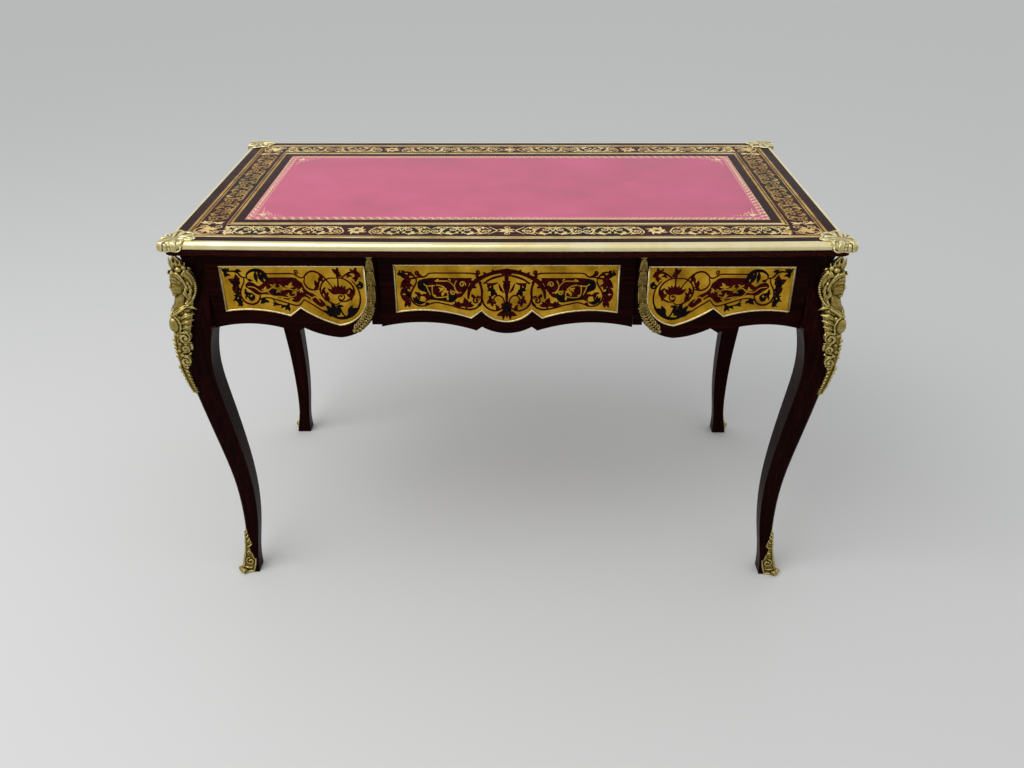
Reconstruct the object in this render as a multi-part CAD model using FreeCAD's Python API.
import FreeCAD, Part
import math
import os

from FreeCAD import Vector

os.makedirs("parts", exist_ok=True)

# A flat-topped writing table in the rococo manner, all lengths in millimetres.
# X runs along the table to the sitter's right, Y from the sitter to the back, Z up.
# The origin is on the floor, in the middle of the table.

# Driving dimensions of the whole table
top_length = 1220.0
top_depth = 650.0
top_height = 785.0
front_bow = 9.0
frieze_inset = 20.0
frieze_depth = 170.5
centre_recess = 12.0
cut_overrun = 40.0

# Top: board, lip below the brass, brass edge, veneer plates and leather
top_core_thickness = 17.0
top_lip_thickness = 11.0
top_lip_inset = 3.0
top_lip_chamfer = 4.0
edge_width = 10.0
edge_flat = 3.0
crossband_width = 19.0
border_width = 71.0
inner_band_width = 17.5
veneer_thickness = 1.5
leather_thickness = 1.5

# Cabriole leg: one template sawn on two neighbouring faces of a square blank
stile_width = 39.5
leg_sweep = 40.5
arris_flat = 5.0

# Rails, partitions and runners
rail_thickness = 20.0
top_rail_depth = 45.0
top_rail_thickness = 16.0
partition_thickness = 18.0
partition_post_depth = 40.0
partition_post_rise = 17.5
partition_rise = 33.0
runner_width = 20.0
runner_thickness = 12.0
guide_rise = 28.0
kicker_width = 50.0

# Drawers
front_thickness = 20.0
front_gap = 1.5
fit_gap = 0.3
centre_front_width = 473.0
drawer_back_gap = 90.0
drawer_side_height = 105.0
drawer_rise = 43.5
board_thickness = 10.0
back_drop = 10.0
bottom_thickness = 6.0
bottom_rise = 8.0
groove_depth = 4.0
tail_count = 3
tail_lap = 12.0
tail_narrow = 14.0
tail_wide = 20.0

# Marquetry panels and their brass beads
panel_recess = 2.0
panel_thickness = 1.5
bead_width = 4.0
bead_height = 4.0

# Gilt mounts
clasp_size = 60.0
clasp_rise = 4.0
clasp_skirt = 34.0
knee_mount_relief = 30.0
knee_mount_wrap = 17.0
knee_mount_root = 2.0
knee_mount_facets = 10
sabot_height = 112.0
sabot_thickness = 3.0
toe_radius = 7.0
toe_length = 21.0
chute_width = 17.0
chute_relief = 8.0
chute_crest_share = 0.45

# Leg curve: height as a share of the leg, offset from the frieze as a share of the sweep
outer_curve_shares = [
    (0.0, -0.06), (0.07, -0.31), (0.145, -0.435), (0.205, -0.455), (0.305, -0.383),
    (0.455, -0.05), (0.61, 0.345), (0.74, 0.543), (0.845, 0.296), (0.91, -0.17),
    (0.95, -0.346), (0.976, -0.30), (1.0, 0.0),
]
# The inner side of the same template, its offset as a share of the stile's width
inner_curve_shares = [
    (0.0, -0.95), (0.06, -0.985), (0.145, -1.177), (0.285, -1.3165), (0.44, -1.165),
    (0.595, -0.878), (0.70, -0.747), (0.78, -0.911), (0.80, -1.0),
]

# Lower edges: place along the front and drop below the top, each as a share of its size.
# A third item marks a point that an arc passes through on its way to the next one.
# Side fronts run from the leg to the centre.
side_front_shares = [
    (0.0, 0.0), (0.0, 0.883), (0.228, 0.830, "via"), (0.492, 0.933), (0.5386, 0.880),
    (0.656, 0.9677, "via"), (0.758, 1.0), (0.929, 0.8446, "via"), (1.0, 0.481), (1.0, 0.0),
]
side_panel_shares = [
    (0.0794, 0.14), (0.0794, 0.689), (0.28, 0.6716, "via"), (0.4695, 0.7437),
    (0.534, 0.6487), (0.6334, 0.7625, "via"), (0.76, 0.856), (0.897, 0.7214, "via"),
    (0.939, 0.463), (0.939, 0.14),
]
# Centre fronts are half outlines, from the outer end to the middle.
centre_front_shares = [
    (1.0, 0.0), (1.0, 0.900), (0.643, 0.8446, "via"), (0.243, 0.947), (0.199, 0.900),
    (0.0, 0.979, "via"),
]
centre_panel_shares = [
    (0.88, 0.1525), (0.88, 0.733), (0.638, 0.704, "via"), (0.281, 0.8035),
    (0.200, 0.7126), (0.0, 0.8446, "via"),
]

# Knee mount: height share of the leg, relief share and wrap share of its own sizes
knee_mount_shares = [
    (0.616, 0.50, 0.06), (0.642, 0.66, 0.12), (0.68, 0.85, 0.25), (0.725, 0.96, 0.60),
    (0.775, 0.985, 0.95), (0.815, 0.99, 1.0), (0.845, 0.87, 1.05), (0.866, 0.62, 0.75),
    (0.884, 0.54, 0.80), (0.905, 0.70, 1.0), (0.925, 0.80, 1.0), (0.95, 0.62, 0.70),
    (0.975, 0.36, 0.35), (1.0, 0.28, 0.15),
]
# Leafy chute on the side drawers: along and down the front, and its width share
chute_shares = [
    (0.968, 0.012, 0.6), (0.968, 0.15, 1.0), (0.969, 0.34, 0.9), (0.963, 0.52, 1.0),
    (0.935, 0.70, 0.97), (0.885, 0.84, 0.95), (0.83, 0.925, 0.35),
]
# Corner clasp in plan: from the outer corner along one side to the middle of the inner lobe,
# inward from the two edges of the top
clasp_shares = [
    (-0.06, -0.06, "via"), (0.12, -0.11), (0.35, -0.13, "via"), (0.57, -0.08),
    (0.64, 0.04, "via"), (0.62, 0.15), (0.95, 0.20, "via"), (0.80, 0.42), (0.78, 0.78, "via"),
]
# Sabot: height share and half-width share of the foot's diagonal
sabot_shares = [(0.0, 1.0), (0.35, 0.78), (0.62, 0.50), (0.80, 0.24), (1.0, 0.03)]

# Sizes worked out from the driving dimensions
half_length = top_length / 2
half_depth = top_depth / 2
frieze_x = half_length - frieze_inset
frieze_y = half_depth - frieze_inset
frieze_top = top_height - top_core_thickness - top_lip_thickness
frieze_bottom = frieze_top - frieze_depth
stile_x = frieze_x - stile_width
stile_y = frieze_y - stile_width
centre_half = centre_front_width / 2
side_inner = centre_half + front_gap
side_outer = stile_x - front_gap
side_width = side_outer - side_inner
centre_y = frieze_y - centre_recess
partition_inner = side_inner
partition_outer = partition_inner + partition_thickness
drawer_length = 2 * frieze_y - front_thickness - rail_thickness - drawer_back_gap
drawer_floor = frieze_bottom + drawer_rise
runner_top = drawer_floor - fit_gap
border_inset = edge_width + crossband_width
border_inner_inset = border_inset + border_width
leather_inset = border_inner_inset + inner_band_width
leg_height = frieze_top
middle = Vector(0, 0, 0)
up = Vector(0, 0, 1)
diagonal = Vector(1, 1, 0).normalize()
crossways = Vector(-1, 1, 0).normalize()


# Helpers

def box(x0, x1, y0, y1, z0, z1):
    """A block between two corners, given in any order."""
    low = Vector(min(x0, x1), min(y0, y1), min(z0, z1))
    return Part.makeBox(abs(x1 - x0), abs(y1 - y0), abs(z1 - z0), low)


def flip(shape, left, front):
    """Copy a piece from the back right corner into another corner."""
    if left:
        shape = shape.mirror(middle, Vector(1, 0, 0))
    if front:
        shape = shape.mirror(middle, Vector(0, 1, 0))
    return shape


def spline(points):
    curve = Part.BSplineCurve()
    curve.interpolate(points)
    return curve.toShape()


def outline_wire(items, place):
    """A closed wire through corner points, with arcs through the points marked via."""
    edges = []
    corners = list(items) + [items[0]]
    start = None
    via = None
    for item in corners:
        point = place(item[0], item[1])
        if len(item) == 3:
            via = point
            continue
        if start is not None and via is None:
            edges.append(Part.makeLine(start, point))
        elif start is not None:
            edges.append(Part.Arc(start, via, point).toShape())
        start = point
        via = None
    return Part.Wire(edges)


def whole(half_items):
    """Mirror a half outline whose last item is the point of its middle arc."""
    other = [(-item[0],) + item[1:] for item in reversed(half_items[:-1])]
    return list(half_items) + other


def wall_place(offset, width, plane):
    """Places on a wall that faces the sitter, from shares along and down it."""
    def place(along, down):
        return Vector(offset + along * width, -plane, frieze_top - down * frieze_depth)
    return place


def save(name, shape):
    """Write one node and check that it is made of closed solids."""
    assert shape.isValid(), name
    assert shape.Solids, name
    shape.exportStep("parts/" + name + ".step")
    print(name, len(shape.Solids), round(shape.Volume / 1000.0, 2))


# Cabriole legs

def leg_offset(shares, size, grow=0.0):
    return [(share * leg_height, part * size + grow) for share, part in shares]


def leg_view(turn, grow):
    """The leg's template as a thick board that faces along X or along Y."""
    outer = leg_offset(outer_curve_shares, leg_sweep, grow)
    inner = leg_offset(inner_curve_shares, stile_width)

    def place(height, offset):
        if turn:
            return Vector(-cut_overrun, frieze_y + offset, height)
        return Vector(frieze_x + offset, -cut_overrun, height)

    outer_points = [place(height, offset) for height, offset in outer]
    inner_points = [place(height, offset) for height, offset in inner]
    stile_top = place(leg_height, -stile_width)
    edges = [
        spline(outer_points),
        Part.makeLine(outer_points[-1], stile_top),
        Part.makeLine(stile_top, inner_points[-1]),
        spline(list(reversed(inner_points))),
        Part.makeLine(inner_points[0], outer_points[0]),
    ]
    face = Part.Face(Part.Wire(edges))
    if turn:
        return face.extrude(Vector(frieze_x + 3 * cut_overrun, 0, 0))
    return face.extrude(Vector(0, frieze_y + 3 * cut_overrun, 0))


def corner_view(grow):
    """A board seen along the diagonal that planes a narrow flat on the leg's arris."""
    root = math.sqrt(2.0)
    outer = leg_offset(outer_curve_shares, leg_sweep, grow)
    reach = 3 * cut_overrun

    def place(height, distance):
        step = distance / root
        return Vector(frieze_x + step, frieze_y + step, height) - crossways * reach

    points = [place(height, offset * root - arris_flat / 2) for height, offset in outer]
    back_top = place(leg_height, -reach)
    back_foot = place(0, -reach)
    edges = [
        spline(points),
        Part.makeLine(points[-1], back_top),
        Part.makeLine(back_top, back_foot),
        Part.makeLine(back_foot, points[0]),
    ]
    return Part.Face(Part.Wire(edges)).extrude(crossways * reach * 2)


def leg_shape(grow=0.0):
    return leg_view(False, grow).common(leg_view(True, grow)).common(corner_view(grow))


# Gilt mounts of the legs

def leg_outer(height_share):
    """Offset of the leg's outer curve at one height, read off the same spline."""
    points = [Vector(part * leg_sweep, 0, share * leg_height) for share, part in outer_curve_shares]
    curve = Part.BSplineCurve()
    curve.interpolate(points)
    level = Part.Plane(Vector(0, 0, height_share * leg_height), up)
    return curve.intersect(level)[0][0].X


def knee_mount(leg):
    """A tapering figure with a plume, seated on the outer corner of the knee."""
    root = math.sqrt(2.0)
    sections = []
    for height_share, relief_share, wrap_share in knee_mount_shares:
        wrap = wrap_share * knee_mount_wrap
        seat = leg_outer(min(height_share, 1.0)) * root - wrap / root
        reach = relief_share * knee_mount_relief * root - seat
        across = wrap / root + knee_mount_root
        centre = Vector(frieze_x, frieze_y, height_share * leg_height) + diagonal * seat
        turns = [math.pi * index / knee_mount_facets for index in range(knee_mount_facets + 1)]
        loop = [centre + crossways * (across * math.cos(turn)) + diagonal * (reach * math.sin(turn))
                for turn in turns]
        sections.append(Part.makePolygon(loop + [loop[0]]))
    figure = Part.makeLoft(sections, True, False)
    return figure.cut(leg)


def sabot(leg):
    """A leaf-shaped shoe round the outer corner of the foot, with a scrolled toe."""
    foot_half = stile_width * math.sqrt(2.0) / 2
    reach = 3 * cut_overrun
    base = Vector(frieze_x, frieze_y, 0) - diagonal * foot_half
    right = [base + crossways * (part * foot_half) + up * (share * sabot_height)
             for share, part in sabot_shares]
    left = [base - crossways * (part * foot_half) + up * (share * sabot_height)
            for share, part in sabot_shares]
    edges = [
        spline(right),
        Part.makeLine(right[-1], left[-1]),
        spline(list(reversed(left))),
        Part.makeLine(left[0], right[0]),
    ]
    leaf = Part.Face(Part.Wire(edges)).extrude(diagonal * reach)
    shell = leg_shape(sabot_thickness).common(leaf)
    toe_offset = outer_curve_shares[0][1] * leg_sweep
    toe_centre = Vector(frieze_x + toe_offset, frieze_y + toe_offset, toe_radius)
    toe = Part.makeCylinder(toe_radius, toe_length, toe_centre - crossways * (toe_length / 2),
                            crossways)
    return shell.fuse(toe).removeSplitter().cut(leg)


# Top of the table

def top_outline(inset, bow):
    """The top's outline moved inward; only the front edge bows."""
    x = half_length - inset
    y = half_depth - inset
    front_left = Vector(-x, -y, 0)
    front_right = Vector(x, -y, 0)
    back_right = Vector(x, y, 0)
    back_left = Vector(-x, y, 0)
    if bow:
        front = Part.Arc(front_left, Vector(0, -y - bow, 0), front_right).toShape()
    else:
        front = Part.makeLine(front_left, front_right)
    edges = [
        front,
        Part.makeLine(front_right, back_right),
        Part.makeLine(back_right, back_left),
        Part.makeLine(back_left, front_left),
    ]
    return Part.Face(Part.Wire(edges))


def slab(inset, bow, z0, z1):
    face = top_outline(inset, bow)
    face.translate(Vector(0, 0, z0))
    return face.extrude(Vector(0, 0, z1 - z0))


def mitre_sector(side):
    """A prism over one side of the top, bounded by the mitre lines of its corners."""
    out = cut_overrun
    inward = border_inner_inset + inner_band_width
    corners = {
        "front": [(-1, -1), (1, -1)],
        "back": [(1, 1), (-1, 1)],
        "left": [(-1, 1), (-1, -1)],
        "right": [(1, -1), (1, 1)],
    }[side]
    (ax, ay), (bx, by) = corners

    def corner(sx, sy, inset):
        return Vector(sx * (half_length - inset), sy * (half_depth - inset), frieze_bottom)

    loop = [corner(ax, ay, -out), corner(bx, by, -out),
            corner(bx, by, inward), corner(ax, ay, inward)]
    face = Part.Face(Part.makePolygon(loop + [loop[0]]))
    return face.extrude(Vector(0, 0, top_height))


def edge_profile(back, outward):
    """Half-round section of the brass edge, standing on the top's side."""
    high = Vector(0, 0, top_height)
    low = Vector(0, 0, top_height - top_core_thickness)
    mid = (high + low) / 2
    flat = back + outward * edge_flat
    nose = back + outward * edge_width
    edges = [
        Part.makeLine(back + low, back + high),
        Part.makeLine(back + high, flat + high),
        Part.Arc(flat + high, nose + mid, flat + low).toShape(),
        Part.makeLine(flat + low, back + low),
    ]
    return Part.Wire(edges)


def brass_edge(side):
    x = half_length - edge_width
    y = half_depth - edge_width
    over = cut_overrun
    if side == "front":
        left = Vector(-x, -y, 0)
        right = Vector(x, -y, 0)
        bow = Part.Arc(left, Vector(0, -y - front_bow, 0), right).toShape().Curve
        spread = math.asin((x + over) / bow.Radius)
        outward = Vector(-math.sin(spread), -math.cos(spread), 0)
        section = edge_profile(bow.Center + outward * bow.Radius, outward)
        bar = Part.Face(section).revolve(bow.Center, up, math.degrees(2 * spread)).toNurbs()
    elif side == "back":
        section = edge_profile(Vector(-x - over, y, 0), Vector(0, 1, 0))
        bar = Part.Face(section).extrude(Vector(2 * (x + over), 0, 0))
    else:
        sign = -1 if side == "left" else 1
        section = edge_profile(Vector(sign * x, -y - over, 0), Vector(sign, 0, 0))
        bar = Part.Face(section).extrude(Vector(0, 2 * (y + over), 0))
    return bar.common(mitre_sector(side))


def top_board():
    core_bottom = top_height - top_core_thickness
    core = slab(edge_width, front_bow, core_bottom, top_height)
    lip = slab(top_lip_inset, front_bow, frieze_top, core_bottom)
    lower = [edge for edge in lip.Edges
             if abs(edge.CenterOfMass.z - frieze_top) < fit_gap]
    lip = lip.makeChamfer(top_lip_chamfer, lower)
    board = core.fuse(lip)
    well = slab(border_inset, front_bow, top_height - veneer_thickness, top_height + cut_overrun)
    island = slab(border_inner_inset, 0, frieze_top, top_height + 2 * cut_overrun)
    board = board.cut(well.cut(island))
    hide = slab(leather_inset, 0, top_height - leather_thickness, top_height + cut_overrun)
    return board.cut(hide).removeSplitter()


def border_plates():
    """Four mitred plates of marquetry, let into the top round the leather."""
    ring = slab(border_inset, front_bow, top_height - veneer_thickness, top_height)
    ring = ring.cut(slab(border_inner_inset, 0, frieze_top, top_height + cut_overrun))
    plates = [ring.common(mitre_sector(side)) for side in ("front", "back", "left", "right")]
    return Part.makeCompound([solid for plate in plates for solid in plate.Solids])


def corner_clasp(carried):
    """A lobed leaf over one corner of the top, turned down over the brass edge."""
    low = frieze_top + top_lip_chamfer

    def leaf(z0, z1):
        def place(along, across):
            return Vector(half_length - along * clasp_size, half_depth - across * clasp_size, z0)
        other = [(item[1], item[0]) + item[2:] for item in reversed(clasp_shares[1:-1])]
        wire = outline_wire(clasp_shares[1:] + other + clasp_shares[:1], place)
        return Part.Face(wire).extrude(Vector(0, 0, z1 - z0))

    crown = top_height + clasp_rise
    skirt_corner = box(half_length - clasp_skirt, half_length + clasp_size,
                       half_depth - clasp_skirt, half_depth + clasp_size, frieze_bottom, crown)
    cap = leaf(low, crown).common(skirt_corner).fuse(leaf(top_height, crown)).removeSplitter()
    for piece in carried:
        cap = cap.cut(piece)
    return cap


# Shaped boards of the frieze and their marquetry

def board_solid(items, offset, width, plane, thickness):
    wire = outline_wire(items, wall_place(offset, width, plane))
    return Part.Face(wire).extrude(Vector(0, thickness, 0))


def panel_parts(items, offset, width, plane):
    """Pocket, marquetry panel and brass bead for one shaped field."""
    wire = outline_wire(items, wall_place(offset, width, plane))
    field = Part.Face(wire)
    inner = field.makeOffset2D(-bead_width)
    out = Vector(0, -1, 0)
    floor = Vector(0, panel_recess, 0)
    pocket = field.copy()
    pocket.translate(floor)
    pocket = pocket.extrude(out * (panel_recess + cut_overrun))
    ring = field.cut(inner)
    ring.translate(floor)
    bead = ring.extrude(out * bead_height)
    inner.translate(floor)
    panel = inner.extrude(out * panel_thickness)
    return pocket, solid_of(panel), solid_of(bead)


def solid_of(shape):
    """The single solid inside a shape."""
    assert len(shape.Solids) == 1
    return shape.Solids[0]


def front_items(kind):
    """Outline, field, place and width of one kind of front."""
    if kind == "centre":
        return whole(centre_front_shares), whole(centre_panel_shares), 0.0, centre_half, centre_y
    if kind == "left":
        return side_front_shares, side_panel_shares, -side_outer, side_width, frieze_y
    return side_front_shares, side_panel_shares, side_outer, -side_width, frieze_y


def chute_mount(kind):
    """A leafy mount down the inner edge of a side front, crowned along its middle."""
    _, _, offset, width, plane = front_items(kind)
    place = wall_place(offset, width, plane)
    centres = [place(along, down) for along, down, _ in chute_shares]
    halves = [part * chute_width / 2 for _, _, part in chute_shares]
    normals = []
    for index in range(len(centres)):
        before = centres[max(index - 1, 0)]
        after = centres[min(index + 1, len(centres) - 1)]
        run = (after - before).normalize()
        normals.append(Vector(run.z, 0, -run.x))

    def loop(scale, rise):
        right = [c + n * (h * scale) for c, n, h in zip(centres, normals, halves)]
        left = [c - n * (h * scale) for c, n, h in zip(centres, normals, halves)]
        edges = [spline(right), Part.makeLine(right[-1], left[-1]),
                 spline(list(reversed(left))), Part.makeLine(left[0], right[0])]
        wire = Part.Wire(edges)
        wire.translate(Vector(0, -rise, 0))
        return wire

    return Part.makeLoft([loop(1.0, 0.0), loop(chute_crest_share, chute_relief)], True, True)


# Drawers

def drawer(kind):
    """Front, sides, back, bottom and ornament of one drawer, as a dict of nodes."""
    items, field, offset, width, plane = front_items(kind)
    front = board_solid(items, offset, width, plane, front_thickness)
    front = front.cut(box(-half_length, half_length, -half_depth, half_depth,
                          frieze_top - front_gap, top_height))
    pocket, panel, bead = panel_parts(field, offset, width, plane)
    front = front.cut(pocket)
    y0 = -plane + front_thickness
    y1 = y0 + drawer_length
    low, high = drawer_span(kind)
    z0 = drawer_floor
    z1 = z0 + drawer_side_height
    sides = {}
    for name, inner, outer in (("left", low + board_thickness, low),
                               ("right", high - board_thickness, high)):
        side = box(inner, outer, y0, y1, z0, z1)
        for tail in tails(min(inner, outer), y0, z0):
            side = side.fuse(tail)
        sides[name] = side.removeSplitter()
        front = front.cut(sides[name])
    bottom = box(low + board_thickness - groove_depth, high - board_thickness + groove_depth,
                 y0 - groove_depth, y1, z0 + bottom_rise, z0 + bottom_rise + bottom_thickness)
    for name in sides:
        sides[name] = sides[name].cut(bottom)
    front = front.cut(bottom)
    back = box(low + board_thickness, high - board_thickness, y1 - board_thickness, y1,
               z0 + bottom_rise + bottom_thickness, z1 - back_drop)
    nodes = {
        "front": front.removeSplitter(), "side_left": sides["left"],
        "side_right": sides["right"], "back": back, "bottom": bottom,
        "marquetry": panel, "bead": bead,
    }
    if kind != "centre":
        nodes["chute_mount"] = chute_mount(kind).cut(bead)
    return nodes


def drawer_span(kind):
    """The box of one drawer along X, inside the runners' guides and partitions."""
    if kind == "centre":
        return -partition_inner + front_gap, partition_inner - front_gap
    low = partition_outer + front_gap
    high = side_outer - front_gap
    if kind == "left":
        return -high, -low
    return low, high


def tails(x0, y0, z0):
    """Lapped dovetails at the front end of one drawer side."""
    pitch = drawer_side_height / tail_count
    found = []
    for index in range(tail_count):
        mid = z0 + (index + 1 / 2) * pitch
        loop = [Vector(x0, y0, mid - tail_narrow / 2), Vector(x0, y0, mid + tail_narrow / 2),
                Vector(x0, y0 - tail_lap, mid + tail_wide / 2),
                Vector(x0, y0 - tail_lap, mid - tail_wide / 2)]
        face = Part.Face(Part.makePolygon(loop + [loop[0]]))
        found.append(face.extrude(Vector(board_thickness, 0, 0)))
    return found


# Carcase between the legs

def side_rail():
    """The shaped rail under the right-hand end of the top, with its marquetry."""
    board = board_solid(whole(centre_front_shares), 0.0, stile_y, frieze_x, rail_thickness)
    pocket, panel, bead = panel_parts(whole(centre_panel_shares), 0.0, stile_y, frieze_x)
    board = board.cut(pocket)
    turned = []
    for shape in (board, panel, bead):
        copy = shape.copy()
        copy.rotate(middle, up, 90)
        turned.append(copy)
    return turned


def back_rail():
    """The back board repeats the three fronts as sham drawers in one piece."""
    boards = []
    panels = []
    beads = []
    chutes = []
    for kind in ("left", "centre", "right"):
        items, field, offset, width, plane = front_items(kind)
        if kind == "centre":
            width = partition_inner
        board = board_solid(items, offset, width, plane, rail_thickness)
        pocket, panel, bead = panel_parts(field, offset, width, plane)
        boards.append(board.cut(pocket))
        panels.append(panel)
        beads.append(bead)
        if kind != "centre":
            chutes.append(chute_mount(kind).cut(bead))
            end = stile_x - side_outer
            filler = box(side_outer, side_outer + end, -frieze_y, -frieze_y + rail_thickness,
                         frieze_top, frieze_top - side_front_shares[1][1] * frieze_depth)
            boards.append(filler if kind == "right" else flip(filler, True, False))
    board = boards[0].multiFuse(boards[1:]).removeSplitter()
    groups = [board, Part.makeCompound(panels), Part.makeCompound(beads),
              Part.makeCompound(chutes)]
    return [flip(shape, False, True) for shape in groups]


def top_rail():
    y0 = -centre_y + front_thickness + fit_gap
    return box(-stile_x, stile_x, y0, y0 + top_rail_depth,
               frieze_top - top_rail_thickness, frieze_top)


def partition(rail):
    """Right-hand partition: a front post that shows under the lobe, and a plain board."""
    y0 = -frieze_y + front_thickness + fit_gap
    y1 = frieze_y - rail_thickness
    board = box(partition_inner, partition_outer, y0, y1, frieze_bottom + partition_rise, frieze_top)
    post = box(partition_inner, partition_outer, y0, y0 + partition_post_depth,
               frieze_bottom + partition_post_rise, frieze_top)
    return board.fuse(post).removeSplitter().cut(rail)


def runners():
    """Six runners: four on the partitions, and two with guides on the side rails."""
    z0 = runner_top - runner_thickness
    y0 = -frieze_y + front_thickness + fit_gap
    side_end = frieze_y - rail_thickness
    centre_end = centre_y - rail_thickness
    inside = frieze_x - rail_thickness
    found = []
    right = [
        box(partition_outer, partition_outer + runner_width, y0, side_end, z0, runner_top),
        box(partition_inner - runner_width, partition_inner,
            -centre_y + front_thickness + fit_gap, centre_end, z0, runner_top),
        box(side_outer - runner_width, inside, -stile_y, stile_y, z0, runner_top).fuse(
            box(side_outer, inside, -stile_y, stile_y, z0, runner_top + guide_rise)
        ).removeSplitter(),
    ]
    for piece in right:
        found.append(piece)
        found.append(flip(piece, True, False))
    return Part.makeCompound(found)


def kickers():
    """A strip over each drawer, from the top rail to the back board."""
    y0 = -centre_y + front_thickness + fit_gap + top_rail_depth
    side_middle = (partition_outer + side_outer) / 2
    found = []
    for middle_x, end in ((-side_middle, frieze_y), (0.0, centre_y), (side_middle, frieze_y)):
        found.append(box(middle_x - kicker_width / 2, middle_x + kicker_width / 2,
                         y0, end - rail_thickness, frieze_top - top_rail_thickness, frieze_top))
    return Part.makeCompound(found)


def build():
    leg = leg_shape()
    mount = knee_mount(leg)
    shoe = sabot(leg)
    board = top_board()
    edges = {side: brass_edge(side) for side in ("front", "back", "left", "right")}
    plates = border_plates()
    for depth in ("front", "back"):
        front = depth == "front"
        carried = [flip(piece, False, front) for piece in [board, plates] + list(edges.values())]
        clasp = corner_clasp(carried)
        for side in ("left", "right"):
            where = depth + "_" + side
            left = side == "left"
            save("leg_" + where, flip(leg, left, front))
            save("knee_mount_" + where, flip(mount, left, front))
            save("sabot_" + where, flip(shoe, left, front))
            save("corner_clasp_" + where, flip(clasp, left, front))
    save("top_board", board)
    for side, edge in edges.items():
        save("brass_edge_" + side, edge)
    save("marquetry_border", plates)
    save("leather_writing_surface",
         slab(leather_inset, 0, top_height - leather_thickness, top_height))

    rail, panel, bead = side_rail()
    save("side_rail_right", rail)
    save("side_rail_left", flip(rail, True, False))
    save("side_rail_marquetry", Part.makeCompound([panel, flip(panel, True, False)]))
    save("side_rail_beads", Part.makeCompound([bead, flip(bead, True, False)]))
    back, back_panels, back_beads, back_chutes = back_rail()
    save("back_rail", back)
    save("back_rail_marquetry", back_panels)
    save("back_rail_beads", back_beads)
    save("back_rail_chute_mounts", back_chutes)
    front_rail = top_rail()
    save("front_top_rail", front_rail)
    divider = partition(front_rail)
    save("partition_right", divider)
    save("partition_left", flip(divider, True, False))
    save("drawer_runners", runners())
    save("drawer_kickers", kickers())
    for kind in ("left", "centre", "right"):
        for name, shape in drawer(kind).items():
            save("drawer_" + kind + "_" + name, shape)


build()
